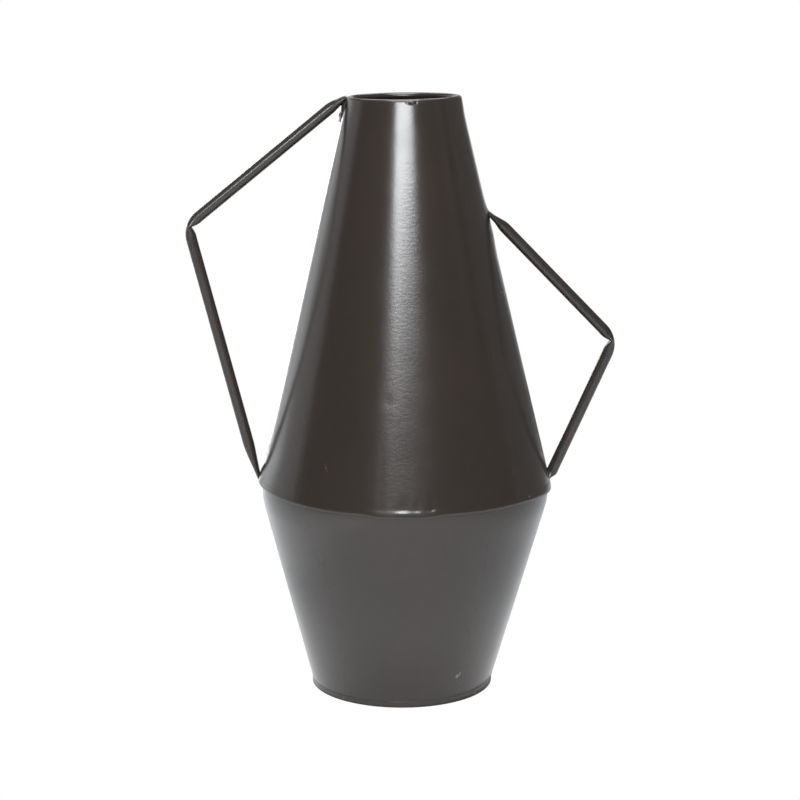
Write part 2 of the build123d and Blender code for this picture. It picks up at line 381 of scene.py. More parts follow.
lacquerSettings = {
    "body": {
        "deep": (0.0241, 0.0190, 0.0161, 1),
        "thin": (0.0266, 0.0206, 0.0171, 1),
        "gloss": (0.21, 0.24),  # roughness where it is glossy and where it is dull
        "rub": 0.35,
        "peel": 0.036 * mm,
    },
    "handle": {
        "deep": (0.0220, 0.0178, 0.0146, 1),
        "thin": (0.0254, 0.0202, 0.0162, 1),
        "gloss": (0.25, 0.31),
        "rub": 0.4,
        "peel": 0.00432 * mm,
    },
    "ior": 1.5,
    "rubbed": (0.13, 0.115, 0.10, 1),  # primer and bare metal where the lacquer is thin
    "rubbedDull": 0.15,  # roughness added there
    "chipped": (0.005, 0.0045, 0.004, 1),
    "chippedDull": 0.8,
    "marks": [  # paler flecks in the body's lacquer: turn in degrees, height, size, stretch, strength
        (72.0, 280.5 * mm, 0.8 * mm, (1, 0.35, 1), 1.0),
        (71.6, 283.6 * mm, 0.5 * mm, (1, 0.35, 1), 0.6),
        (56.3, 146.9 * mm, 0.9 * mm, (1, 1, 1), 0.9),
        (-34.5, 174.4 * mm, 0.5 * mm, (1, 1, 0.35), 0.25),
        (-33.8, 172.4 * mm, 0.5 * mm, (1, 1, 0.30), 0.45),
        (-33.2, 170.4 * mm, 0.5 * mm, (1, 1, 0.35), 0.35),
    ],
    "lowMarks": [  # the same on the lower cone
        (33.6, 20.4 * mm, 2.3 * mm, (1.2, 1, 1), 1.0),
        (35.3, 22.0 * mm, 1.2 * mm, (1, 1, 0.6), 0.9),
        (53.7, 1.6 * mm, 1.4 * mm, (1, 1, 0.7), 0.8),
        (-39.9, 1.6 * mm, 1.2 * mm, (1, 1, 0.7), 0.7),
    ],
    "chips": [  # lacquer broken off at the hem of the rim
        (2.6, 409.2 * mm, 0.9 * mm, (1, 1, 1.3), 1.0),
        (6.4, 408.7 * mm, 1.7 * mm, (1, 1, 1.3), 1.0),
        (9.2, 408.0 * mm, 1.1 * mm, (1, 1, 1.3), 1.0),
        (11.6, 409.0 * mm, 1.6 * mm, (1, 1, 1.2), 1.0),
    ],
}


def lowerShift(height):
    low, high = wallShape["lowerLean"]
    return low + (high - low) * height / skirtEdge.y


def onLower(turn, height, out):
    share = (height - bodyLines["footTop"]) / (kneeAt.y - bodyLines["footTop"])
    place = spin(turn, Vector((footRadius + (kneeAt.x - footRadius) * share + out, height)))
    place.x += lowerShift(height)
    return place


def spotAt(surface, turn, height, size, stretch, strength):
    place = surface(math.radians(turn), height, 0)
    return {"Place": place, "Size": size, "Stretch": stretch, "Strength": strength}


def makeLacquer(name, look, marks, chips):
    s = lacquerSettings
    material, tree, shader = startMaterial(name)
    glossy, dull = look["gloss"]
    tones = {"Deep": look["deep"], "Thin": look["thin"], "Gloss": glossy, "Dull": dull}
    tone = addGroup(tree, lacquerTone, tones)
    mask = addGroup(tree, edgeRub, {"Amount": look["rub"]})["Mask"]
    for values in marks:
        mask = addMath(tree, "MAXIMUM", mask, addGroup(tree, fleck, values)["Mask"])
    colour = addMix(tree, mask, tone["Color"], s["rubbed"])
    rough = addMath(tree, "ADD", tone["Roughness"], addMath(tree, "MULTIPLY", mask, s["rubbedDull"]))
    for values in chips:
        spot = addGroup(tree, fleck, values)["Mask"]
        colour = addMix(tree, spot, colour, s["chipped"])
        rough = addMath(tree, "ADD", rough, addMath(tree, "MULTIPLY", spot, s["chippedDull"]), True)
    height = addGroup(tree, orangePeel, {})["Height"]
    bump = addNode(tree, "ShaderNodeBump", {"Height": height, "Distance": look["peel"], "Strength": 1.0})
    feed(tree, shader, Base_Color=colour, Roughness=rough, Normal=bump.outputs["Normal"])
    shader.inputs["IOR"].default_value = s["ior"]
    return material


markPlaces = [spotAt(onWall, *values) for values in lacquerSettings["marks"]]
markPlaces += [spotAt(onLower, *values) for values in lacquerSettings["lowMarks"]]
chipPlaces = [spotAt(onWall, *values) for values in lacquerSettings["chips"]]
bodyLacquer = makeLacquer("bodyLacquer", lacquerSettings["body"], markPlaces, chipPlaces)
handleLacquer = makeLacquer("handleLacquer", lacquerSettings["handle"], [], [])


# Bare metal inside the vase
bareMetals = {  # light and dark tone, roughness, scale of the grain
    "ironWire": ((0.36, 0.35, 0.34, 1), (0.16, 0.12, 0.10, 1), 0.42, 900.0),
    "greySolder": ((0.42, 0.42, 0.41, 1), (0.24, 0.235, 0.23, 1), 0.5, 380.0),
}
grainDepth = 0.03 * mm


def makeBareMetal(name, light, dark, rough, streak):
    material, tree, shader = startMaterial(name)
    place = objectPlace(tree)
    clouds = addRange(tree, addNoise(tree, place, 70.0, 4.0, 0.6), 0.35, 0.7, 0.0, 1.0)
    grain = addNoise(tree, place, streak, 3.0, 0.6)
    colour = addMix(tree, clouds, light, dark)
    spread = addMath(tree, "ADD", addMath(tree, "MULTIPLY", grain, 0.2), rough - 0.1)
    bump = addNode(tree, "ShaderNodeBump", {"Height": grain, "Distance": grainDepth, "Strength": 1.0})
    metal = addMath(tree, "SUBTRACT", 1.0, addMath(tree, "MULTIPLY", clouds, 0.35))
    feed(tree, shader, Base_Color=colour, Roughness=spread, Metallic=metal, Normal=bump.outputs["Normal"])
    return material


ironWire, greySolder = (makeBareMetal(name, *values) for name, values in bareMetals.items())
print("materials ready")


# Upper cone: one rolled sheet from the skirt edge to the hem round the rim wire
upperCone = {
    "around": 384,
    "wallRows": 96,
    "topRows": 26,  # dense rows under the rim
    "topBand": 12 * mm,
    "innerRows": 44,
    "rollRows": 26,
    "rollSweep": math.radians(250),
    "crestRub": (0.05, 0.25, 0.42, 0.62),  # shares of the roll between which its crest is rubbed
    "edgeRound": 0.2 * mm,  # inner corner of the skirt's edge
    "edgeRows": 4,
    "lipRound": (2.0 * mm, 0.8 * mm),  # height and depth of its outer rounding
    "lipRows": 9,
    "keen": (90, 30, 0.75),  # where the edge stayed sharp: turn, half width, share of the rounding
    "flareRows": 14,
    "flareTop": 8 * mm,
    "flare": 0.07 * mm,  # the skirt's edge stands out a little
    "flareFade": 60 * mm,  # height over which that dies away
    "beats": [  # and more where it was hammered: turn and half width in degrees, depth, height it reaches
        (-1.0, 2.6, 0.22 * mm, 17 * mm),
        (4.4, 0.8, 0.24 * mm, 14 * mm),
        (10.1, 0.9, 0.30 * mm, 14 * mm),
        (-9.6, 1.2, 0.06 * mm, 60 * mm),
        (141.0, 3.0, 0.12 * mm, 60 * mm),
        (-127.0, 2.2, 0.10 * mm, 60 * mm),
    ],
    "ripple": 0.05 * mm,  # unevenness of hand-rolled sheet
    "waves": [(5, 11, 0.8, 0.5), (9, 7, -1.7, 0.3), (2, 23, 0, 0.5)],
    "rippleCalm": 12 * mm,  # it dies away over this height under the rim
    "skirtFade": 38 * mm,  # height over which the skirt's unevenness dies away
    "sags": [  # turn and half width in degrees, drop, firmness of the ends
        (90, 33, 4.7 * mm, 2),
        (-3, 65, 1.35 * mm, 4),
        (-1, 13, 1.4 * mm, 8),
    ],
    "waver": 0.5 * mm,  # of the skirt's edge all round
    "waverScale": 3.1,
    "waverSeed": 0.4,
    "dents": [  # turn in degrees, height, radius, depth
        (-7.4, 217.8 * mm, 3.2 * mm, 0.14 * mm),
        (-4.0, 353.1 * mm, 1.1 * mm, 0.10 * mm),
        (3.4, 409.0 * mm, 0.6 * mm, 0.20 * mm),
        (6.4, 408.8 * mm, 0.9 * mm, 0.30 * mm),
        (8.8, 408.6 * mm, 0.8 * mm, 0.24 * mm),
        (12.0, 409.1 * mm, 1.0 * mm, 0.28 * mm),
        (90.0, 410.0 * mm, 9.0 * mm, -0.9 * mm),  # rim knocked outward
        (90.0, 331.0 * mm, 7.0 * mm, -0.9 * mm),  # pulled out by the low handle's upper end
        (90.0, 317.0 * mm, 8.0 * mm, -0.7 * mm),
    ],
    "drawn": (-85, 18, 24 * mm, 1.6 * mm),  # skirt drawn out on the left: turn, half width, reach, depth
}


def turnedFrom(turn, middle):  # degrees between two turns
    return (math.degrees(turn) - middle + 180) % 360 - 180


def skirtDrop(turn):  # the skirt was trimmed by hand: it sags beside the low handle and at the front
    s = upperCone
    place = Vector((math.cos(turn), math.sin(turn), s["waverSeed"])) * s["waverScale"]
    drop = s["waver"] * noise.noise(place)
    for middle, width, more, firm in s["sags"]:
        drop += more * math.exp(-(turnedFrom(turn, middle) / width) ** firm)
    return drop


def keenEdge(turn, inset):  # gives back part of the lip's rounding
    middle, width, share = upperCone["keen"]
    return share * inset * math.exp(-(turnedFrom(turn, middle) / width) ** 2)


def flareInset(turn, up):  # how far the wall stands back from the skirt's edge
    s = upperCone
    depth = s["flare"] * smooth(s["flareFade"], s["flareFade"] / 3, up)
    for middle, width, more, reach in s["beats"]:
        depth += more * math.exp(-(turnedFrom(turn, middle) / width) ** 2) * smooth(reach, reach / 3, up)
    return depth * smooth(*wallShape["flareReach"], up)


def drawnOut(turn, up):
    middle, width, reach, out = upperCone["drawn"]
    return out * math.exp(-(turnedFrom(turn, middle) / width) ** 2) * smooth(reach, 0, up)


def wallRipple(turn, height):
    s = upperCone
    calm = smooth(0, s["rippleCalm"], rollTangent.y - height)
    out = s["ripple"] * waveSum(s["waves"], turn, height) * calm
    for dentTurn, dentHeight, radius, depth in s["dents"]:
        across = math.radians(turnedFrom(turn, dentTurn)) * wallRadius(height)
        reach = math.hypot(across, height - dentHeight) / radius
        if reach < 3:  # nothing of it is left further out
            out -= depth * math.exp(-reach * reach)
    return out


def upperRows():
    s = upperCone
    outerEdge, innerEdge = wallPoint(0, 0), wallPoint(0, -sheet)
    outerTop, innerTop = wallPoint(wallLength, 0), wallPoint(wallLength, -sheet)
    rows = []

    def put(points, along, wear):
        rows.extend((point, along(point), wear) for point in points)

    def up(point):
        return (point - skirtEdge).dot(wallUp)

    def hem(point):
        return wallLength

    lipHigh, lipDeep = s["lipRound"]
    put(roundCorner(innerTop, innerEdge, outerEdge, s["edgeRound"], s["edgeRows"]), up, 0.4)
    for step in range(s["lipRows"]):
        angle = math.pi / 2 * step / s["lipRows"]
        put([wallPoint(lipHigh * (1 - math.cos(angle)), -lipDeep * (1 - math.sin(angle)))], up, 0.6)
    flareTop = wallPoint(s["flareTop"], 0)
    put(stretch(wallPoint(lipHigh, 0), flareTop, s["flareRows"]), up, 0.2)
    dense = wallPoint(wallLength - s["topBand"], 0)
    put(stretch(flareTop, dense, s["wallRows"]), up, 0.0)
    put(stretch(dense, outerTop, s["topRows"]), up, 0.0)
    rollOut = arc(rollCentre, rollRadius, wallLean, s["rollSweep"], s["rollRows"])
    rollIn = arc(rollCentre, rollRadius - sheet, wallLean, s["rollSweep"], s["rollRows"])
    begin, full, wane, stop = s["crestRub"]
    for step, point in enumerate(rollOut):
        share = step / s["rollRows"]
        put([point], hem, smooth(begin, full, share) * smooth(stop, wane, share))
    put([rollOut[-1].lerp(rollIn[-1], 0.5)], hem, 0.0)
    put(reversed(rollIn), hem, 0.0)
    put(stretch(innerTop, wallPoint(lipHigh, -sheet), s["innerRows"])[1:], up, 0.0)
    return rows


def makeUpperCone():
    s = upperCone
    rows = upperRows()
    points, wear = [], []
    for point, along, rubbed in rows:
        fade = (1 - min(1, max(0, along / s["skirtFade"]))) ** 2
        rimShare = smooth(wallLength - wallShape["rimFade"], wallLength, along)
        hollow = Vector((hollowAt(point.y), 0))
        inset = (skirtEdge - point).dot(wallOut)
        onLip = along < s["lipRound"][0] and inset <= s["lipRound"][1]
        for turn in turns(s["around"]):
            moved = point - hollow - wallUp * (skirtDrop(turn) * fade)
            moved -= Vector((0, rimDrop(turn) * rimShare))
            up = point.y - skirtEdge.y
            out = wallRipple(turn, point.y) - flareInset(turn, up) + drawnOut(turn, up)
            if onLip:
                out += keenEdge(turn, inset)
            place = spin(turn, moved + wallOut * out)
            place.x += leanAt(point.y)
            points.append(place)
            wear.append(rubbed)
    faces = ringFaces(len(rows), s["around"], True)
    setOnFrame(makePiece("upperCone", points, faces, wear), "body_lacquer", bodyLacquer, "upper_cone")


makeUpperCone()


# Rim wire: a ring cut from a coil, its two ends left a little apart at the back
rimWire = {"around": 24, "steps": 300, "opening": math.radians(2.4), "endRound": 0.25}


def makeRimWire():
    s = rimWire
    points = []
    for step in range(s["steps"] + 1):
        share = step / s["steps"]
        turn = math.pi + s["opening"] / 2 + (2 * math.pi - s["opening"]) * share
        blunt = 1 - s["endRound"] if step in (0, s["steps"]) else 1  # filed ends
        for angle in turns(s["around"]):
            ring = Vector((math.cos(angle), math.sin(angle))) * wireRadius * blunt
            place = spin(turn, rollCentre + ring - Vector((0, rimDrop(turn))))
            place.x += leanAt(rollCentre.y)
            points.append(place)
    faces = ringFaces(s["steps"] + 1, s["around"], False)
    shutEnds(points, faces, s["steps"] + 1, s["around"])
    setOnFrame(makePiece("rimWire", points, faces), "iron_wire", ironWire, "rim_wire")


makeRimWire()


# Lower cone: straight foot, flare, and a collar that laps inside the skirt
lowerCone = {
    "around": 320,
    "footRows": 3,
    "heelRows": 4,
    "flareRows": 70,
    "kneeRows": (16, 12),  # outside and inside
    "collarRows": 5,
    "edgeRows": 3,
    "innerRows": 40,
    "heelBend": 2.0 * mm,  # of the outer face above the foot
    "kneeBend": 50 * mm,  # of the outer face below the skirt
    "edgeRound": 0.3 * mm,
    "ripple": 0.04 * mm,
    "waves": [(4, 15, 2.1, 1), (7, -21, 0, 0.6)],
    "rippleStart": (4 * mm, 18 * mm),  # the foot itself is true
}


def insideCorner(before, corner, after, depth):
    back = (corner - before).normalized()
    ahead = (after - corner).normalized()
    first, second = Vector((-back.y, back.x)), Vector((-ahead.y, ahead.x))
    return corner + (first + second) * depth / (1 + first.dot(second))


def lowerRows():
    s = lowerCone
    foot, heel, knee = Vector((footRadius, sheet)), Vector((footRadius, bodyLines["footTop"])), kneeAt
    collar = wallPoint(bodyLines["collarReach"], -sheet - bodyLines["lapGap"])
    inFoot = foot - Vector((sheet, 0))
    inHeel = insideCorner(foot, heel, knee, sheet)
    inKnee = insideCorner(heel, knee, collar, sheet)
    inCollar = collar - wallOut * sheet
    kneeRows, inKneeRows = s["kneeRows"]
    heelBend = roundCorner(foot, heel, knee, s["heelBend"], s["heelRows"])
    kneeBend = roundCorner(heel, knee, collar, s["kneeBend"], kneeRows)
    inKneeBend = roundCorner(inCollar, inKnee, inHeel, s["kneeBend"] - sheet, inKneeRows)
    inHeelBend = roundCorner(inKnee, inHeel, inFoot, s["heelBend"] + sheet, s["heelRows"])
    rows = stretch(foot, heelBend[0], s["footRows"]) + heelBend
    rows += stretch(heelBend[-1], kneeBend[0], s["flareRows"])[1:] + kneeBend
    rows += stretch(kneeBend[-1], collar, s["collarRows"])[1:]
    rows += roundCorner(kneeBend[-1], collar, inCollar, s["edgeRound"], s["edgeRows"])
    rows += roundCorner(collar, inCollar, inKneeBend[0], s["edgeRound"], s["edgeRows"])
    rows += stretch(inCollar, inKneeBend[0], s["collarRows"])[1:] + inKneeBend
    rows += stretch(inKneeBend[-1], inHeelBend[0], s["innerRows"])[1:] + inHeelBend
    return rows + [inFoot]


def makeLowerCone():
    s = lowerCone
    rows = lowerRows()
    points = []
    for point in rows:
        calm = smooth(*s["rippleStart"], point.y)
        for turn in turns(s["around"]):
            wave = waveSum(s["waves"], turn, point.y)
            place = spin(turn, point + Vector((s["ripple"] * wave * calm, 0)))
            place.x += lowerShift(point.y)
            points.append(place)
    faces = ringFaces(len(rows), s["around"], True)
    setOnFrame(makePiece("lowerCone", points, faces), "body_lacquer", bodyLacquer, "lower_cone")


makeLowerCone()


# Base pan: a floor with its flange turned up round the foot
basePan = {
    "around": 256,
    "corner": 0.6 * mm,
    "cornerRub": 0.5,
    "proud": 0.4 * mm,  # flange and lacquer beyond the foot
    "top": 4.6 * mm,  # where the lacquer over the flange has run into the cone
    "hub": 4 * mm,  # inner ring of the floor's mesh
    "floorRim": 0.9 * mm,  # end of the flat floor, in from the side
    "floorSteps": 14,
    "cornerSteps": 6,
    "sideSteps": 8,
    "wobble": 0.12 * mm,  # uneven height of the hammered flange
    "wobbleTurns": (6, 11),
}


def makeBasePan():
    s = basePan
    radius, inside = footRadius + s["proud"], footRadius - sheet / 2
    under, side = Vector((radius, 0)), Vector((radius, s["top"]))
    inFloor, inTop = Vector((inside, sheet)), Vector((inside, s["top"]))
    hub = Vector((s["hub"], 0))
    floor = stretch(hub, under - Vector((s["floorRim"], 0)), s["floorSteps"])
    corner = roundCorner(hub, under, side, s["corner"], s["cornerSteps"])
    rest = stretch(under + Vector((0, 2 * s["corner"])), side, s["sideSteps"]) + stretch(side, inTop, 2)
    rest += stretch(inTop, inFloor, 4) + stretch(inFloor, hub + Vector((0, sheet)), s["floorSteps"])
    rows = [(point, 0.0) for point in floor]
    rows += [(point, s["cornerRub"]) for point in corner]
    rows += [(point, 0.0) for point in rest]
    slow, fast = s["wobbleTurns"]
    points, wear = [], []
    for point, rubbed in rows:
        lift = smooth(sheet, s["top"], point.y)
        for turn in turns(s["around"]):
            drop = s["wobble"] * lift * (1 + math.sin(slow * turn + 1) * math.cos(fast * turn)) / 2
            place = spin(turn, point - Vector((0, drop)))
            place.x += lowerShift(0)
            points.append(place)
            wear.append(rubbed)
    faces = ringFaces(len(rows), s["around"], False)
    shutEnds(points, faces, len(rows), s["around"])
    setOnFrame(makePiece("basePan", points, faces, wear), "body_lacquer", bodyLacquer, "base_pan")


makeBasePan()


# Solder rings: dull fillets run round inside the waist and inside the foot
solderRings = {
    "around": 288,
    "steps": 7,
    "leg": 2.5 * mm,
    "uneven": 0.3,  # share by which a fillet runs thin
    "curve": 1.35,  # hollow of its face
    "runScale": 6,
    "runSeed": 40,  # sets the two rings apart by their heights
}


def makeSolderRing(name, node, corner, high, deep, shift):
    s = solderRings
    shares = [step / s["steps"] for step in range(s["steps"] + 1)]
    section = [(0, 0)] + [((1 - share) ** s["curve"], share ** s["curve"]) for share in shares]
    points = []
    for up, across in section:
        for turn in turns(s["around"]):
            run = Vector((math.cos(turn), math.sin(turn), corner.y * s["runSeed"])) * s["runScale"]
            size = 1 - s["uneven"] * (1 + noise.noise(run)) / 2
            place = spin(turn, corner + ((high - corner) * up + (deep - corner) * across) * size)
            place.x += shift
            points.append(place)
    faces = ringFaces(len(section), s["around"], True)
    setOnFrame(makePiece(name, points, faces), "solder", greySolder, node)


def makeSolder():
    leg, lapTop = solderRings["leg"], bodyLines["collarReach"]
    lap, lapInside = wallPoint(lapTop, -sheet), wallPoint(lapTop, -2 * sheet - bodyLines["lapGap"])
    makeSolderRing("waistSolder", "waist_solder", lap, wallPoint(lapTop + leg, -sheet), lapInside,
                   leanAt(skirtEdge.y))
    inFoot = Vector((footRadius - sheet, sheet))
    makeSolderRing("baseSolder", "base_solder", inFoot, inFoot + Vector((0, leg)), inFoot - Vector((leg, 0)),
                   lowerShift(0))


makeSolder()


# Handles: thin tube, bent once with a pinched elbow and pressed flat at both ends
handleTube = {
    "diameter": 7.6 * mm,
    "bend": 16 * mm,  # of the tube's axis in the elbow
    "spread": 0.55,  # width gained as the tube is flattened
    "sharpness": 3.0,  # of the pinch in the elbow
    "overrun": 9 * mm,  # length past the wall before an end is cut to fit
    "sink": 0.3 * mm,  # of a cut end into the wall
    "around": 48,
    "elbowRings": 34,
    "elbowCrowd": 1.6,  # crowds the rings towards the pinch
    "runRing": 3.0 * mm,
    "endRings": 26,
    "halvings": 40,  # tries to find where a line of the tube meets the wall
    "elbowRub": (22 * mm, 4 * mm, 0.5),  # where rubbing starts and is full, from the elbow, and how much
    "crumple": (330, 1.3, 900),  # of the pressed ends: along, about, and what sets the ends apart
    "crumpleStart": (0.1, 0.6),  # share of the flat length
}
# Each end: height of the axis at the wall, length pressed flat, share of it that the pressing takes,
# thickness left, shift of the tip from the axis, crumpling and what is cut off
leftHandle = {
    "name": "leftHandle",
    "node": "left_handle",
    "elbow": (-(skirtEdge.x + 46.4 * mm), skirtEdge.y + 177.0 * mm),
    "pinch": 3.6 * mm,
    "ceiling": cadHigh.z - 1.0 * mm,  # the tongue is hammered level with the rim
    "top": {
        "height": cadHigh.z + 0.1 * mm, "flat": 16 * mm, "press": 1.0, "thick": 3.0 * mm,
        "shift": -1.5 * mm, "crush": 0.12, "cut": 0,
    },
    "low": {
        "height": skirtEdge.y - 1.8 * mm, "flat": 30 * mm, "press": 1.0, "thick": 2.8 * mm,
        "shift": -1.2 * mm, "crush": 0.06, "cut": 4.8 * mm,
    },
}
rightHandle = {
    "name": "rightHandle",
    "node": "right_handle",
    "elbow": (skirtEdge.x + 42.9 * mm, skirtEdge.y + 98.1 * mm),
    "pinch": 3.0 * mm,
    "ceiling": cadHigh.z - 60 * mm,  # well above this handle
    "top": {
        "height": cadHigh.z - 77.7 * mm, "flat": 18 * mm, "press": 0.75, "thick": 3.4 * mm,
        "shift": -1.7 * mm, "crush": 0.08, "cut": 0,
    },
    "low": {
        "height": skirtEdge.y + 0.4 * mm, "flat": 5.5 * mm, "press": 1.0, "thick": 3.0 * mm,
        "shift": -0.7 * mm, "crush": 0.06, "cut": 0,
    },
}


def bodyRadius(height):  # the wall, carried straight up past the rim
    return max(wallRadius(height) - hollowAt(height), rollTangent.x)


def tubeHalf(handle, endName):
    t = handleTube
    side = math.copysign(1, handle["elbow"][0])
    elbow = Vector((handle["elbow"][0], 0, handle["elbow"][1]))
    feet = {}
    for name in ("top", "low"):
        height = handle[name]["height"]
        feet[name] = Vector((side * bodyRadius(height), 0, height))
    inward = sum(((foot - elbow).normalized() for foot in feet.values()), Vector((0, 0, 0))).normalized()
    end = handle[endName]
    run = (feet[endName] - elbow).normalized()
    halfTurn = math.pi / 2 - run.angle(inward)
    centre = elbow + inward * t["bend"] / math.cos(halfTurn)
    sideways = (run - inward * run.dot(inward)).normalized()
    outward = sideways * math.sin(halfTurn) - inward * math.cos(halfTurn)
    start = centre + outward * t["bend"]
    straight = (feet[endName] - start).length - end["flat"]

    def section(middle, out, thick, angle):
        width = t["diameter"] + t["spread"] * (t["diameter"] - thick)
        return middle + Vector((0, width / 2 * math.cos(angle), 0)) + out * (thick / 2 * math.sin(angle))

    def inElbow(share, angle):
        bend = halfTurn * share
        out = sideways * math.sin(bend) - inward * math.cos(bend)
        thick = t["diameter"] - (t["diameter"] - handle["pinch"]) * (1 - share) ** t["sharpness"]
        return section(centre + out * (t["bend"] + (t["diameter"] - thick) / 2), out, thick, angle)

    def inRun(reach, angle):
        return section(start + run * reach, outward, t["diameter"], angle)

    def inEnd(reach, angle):
        share = min(1, reach / end["flat"])
        thick = t["diameter"] + (end["thick"] - t["diameter"]) * smooth(0, end["press"], share)
        along, about, apart = t["crumple"]
        place = (reach * along, about * math.cos(angle), about * math.sin(angle) + end["flat"] * apart)
        thick *= 1 + end["crush"] * noise.noise(Vector(place)) * smooth(*t["crumpleStart"], share)
        middle = start + run * (straight + reach) + outward * end["shift"] * share ** 2
        return section(middle, outward, thick, angle)

    return inElbow, inRun, inEnd, straight, end["flat"]


def endReach(inEnd, flat, angle):  # how far one line of the tube goes before it meets the wall
    near, far = 0.0, flat + handleTube["overrun"]
    for step in range(handleTube["halvings"]):
        middle = (near + far) / 2
        point = inEnd(middle, angle)
        if math.hypot(point.x - leanAt(point.z), point.y) > bodyRadius(point.z) - handleTube["sink"]:
            near = middle
        else:
            far = middle
    return near


def makeHandle(handle):
    t = handleTube
    angles = turns(t["around"])
    halves = {}
    for endName in ("top", "low"):
        inElbow, inRun, inEnd, straight, flat = tubeHalf(handle, endName)
        rings = []
        for step in range(t["elbowRings"] + 1):
            share = (step / t["elbowRings"]) ** t["elbowCrowd"]
            rings.append([inElbow(share, angle) for angle in angles])
        count = round(straight / t["runRing"])
        for step in range(1, count):
            rings.append([inRun(straight * step / count, angle) for angle in angles])
        reaches = [endReach(inEnd, flat, angle) for angle in angles]
        longest = max(reaches) - handle[endName]["cut"]
        reaches = [min(reach, longest) for reach in reaches]
        for step in range(t["endRings"] + 1):
            share = step / t["endRings"]
            rings.append([inEnd(reach * share, angle) for reach, angle in zip(reaches, angles)])
        halves[endName] = rings
    rings = halves["top"][:0:-1] + halves["low"]
    points, wear = [], []
    far, near, rub = t["elbowRub"]
    elbowAt = Vector((handle["elbow"][0], 0, handle["elbow"][1]))
    for ring in rings:
        for point in ring:
            points.append(Vector((point.x, point.y, min(point.z, handle["ceiling"]))))
            wear.append(rub * smooth(far, near, (point - elbowAt).length))
    faces = ringFaces(len(rings), t["around"], False)
    shutEnds(points, faces, len(rings), t["around"])
    piece = makePiece(handle["name"], points, faces, wear)
    setOnFrame(piece, "handle_lacquer", handleLacquer, handle["node"])


makeHandle(leftHandle)
makeHandle(rightHandle)


# Weld beads: lumpy deposits on the wall, each round the end of a tube
weldBeads = {
    "rings": 22,
    "around": 64,
    "sink": 0.35 * mm,
    "rimClear": 2.2 * mm,  # no bead comes closer to the top of the rim
    "rub": 0.25,
    "rag": (0.14, 1.7),  # uneven outline: share, scale
    "lumps": (0.30, 420),  # uneven face: share, scale
    "grains": (0.12, 2.3),  # finer still: share, times finer
    "seedStep": (7.3, 5 * mm),  # sets the beads apart in outline and face
    "beads": [  # name, node, side, middle height, half width and height, proud, thicker upward by, seed
        ("leftTopWeld", "left_top_weld", -1, cadHigh.z - 10.4 * mm, (5.6 * mm, 8.6 * mm), 1.5 * mm, 0.5, 1),
        ("leftLowWeld", "left_low_weld", -1, skirtEdge.y + 2.6 * mm, (5.8 * mm, 2.8 * mm), 0.9 * mm, 0, 2),
        ("rightTopWeld", "right_top_weld", 1, cadHigh.z - 80.2 * mm, (5.6 * mm, 4.4 * mm), 1.2 * mm, 0, 3),
        ("rightLowWeld", "right_low_weld", 1, skirtEdge.y + 5.4 * mm, (5.0 * mm, 2.4 * mm), 0.35 * mm, 0, 4),
    ],
}
brazeDrip = {  # a run of braze that set below the left tongue
    "weld": "leftTopWeld",
    "around": 16,
    "stepsEach": 8,
    "path": [  # distance from the axis, height, thickness
        (41.2 * mm, 404.6 * mm, 0.9 * mm),
        (42.6 * mm, 401.6 * mm, 0.5 * mm),
        (43.0 * mm, 399.6 * mm, 0.7 * mm),
        (43.2 * mm, 397.7 * mm, 2.0 * mm),
        (43.5 * mm, 395.9 * mm, 0.5 * mm),
        (43.8 * mm, 394.6 * mm, 0.3 * mm),
        (44.0 * mm, 393.7 * mm, 0.7 * mm),
        (44.1 * mm, 393.1 * mm, 0.2 * mm),
    ],
}


def makeDrip(points, faces):
    s = brazeDrip
    first, rings = len(points), 0
    for here, there in zip(s["path"], s["path"][1:]):
        for step in range(s["stepsEach"]):
            share = step / s["stepsEach"]
            out, height, thick = (a + (b - a) * share for a, b in zip(here, there))
            for angle in turns(s["around"]):
                wide, deep = thick / 2 * math.cos(angle), thick / 2 * math.sin(angle)
                points.append(Vector((-out + wide, deep, height)))
            rings += 1
    run, caps = points[first:], []
    shutEnds(run, caps, rings, s["around"])
    points.extend(run[-2:])
    for face in ringFaces(rings, s["around"], False) + caps:
        faces.append(tuple(first + corner for corner in face))


def makeWeld(name, node, side, height, half, proud, leanUp, seed):
    w = weldBeads
    halfWidth, halfHeight = half
    ragShare, ragScale = w["rag"]
    lumpShare, lumpScale = w["lumps"]
    grainShare, finer = w["grains"]
    ragSeed, lumpSeed = (seed * step for step in w["seedStep"])
    points, wear = [], []

    def put(share, angle, out):
        rag = 1 + ragShare * noise.noise(Vector((math.cos(angle), math.sin(angle), ragSeed)) * ragScale)
        across = halfWidth * share * rag * math.cos(angle)
        up = halfHeight * share * rag * math.sin(angle)
        level = min(height + up, cadHigh.z - w["rimClear"])
        place = Vector((across, up, lumpSeed)) * lumpScale
        lumps = 1 + lumpShare * noise.noise(place) + grainShare * noise.noise(place * finer)
        lumps += leanUp * up / halfHeight
        turn = side * math.pi / 2 + across / bodyRadius(level)
        points.append(onWall(turn, level, out * lumps if out > 0 else out))
        wear.append(w["rub"] if out > 0 else 0.0)

    rings = w["rings"]
    for step in range(rings):
        share = math.sin(math.pi / 2 * (rings - step) / rings)
        out = proud * math.sqrt(max(0, 1 - share * share)) - w["sink"] * share ** 6
        for angle in turns(w["around"]):
            put(share, angle, out)
    faces = ringFaces(rings, w["around"], False)
    shutEnds(points, faces, rings, w["around"])
    if name == brazeDrip["weld"]:
        makeDrip(points, faces)
    setOnFrame(makePiece(name, points, faces, wear), "handle_lacquer", handleLacquer, node)


for bead in weldBeads["beads"]:
    makeWeld(*bead)
print("weld beads:", len(weldBeads["beads"]))


# CAD nodes that keep their shape get their finish
for node in ("upper_seam_weld", "lower_seam_weld"):
    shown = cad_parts[node]
    shown.data.materials.clear()
    shown.data.materials.append(bodyLacquer)
print("kept nodes dressed")


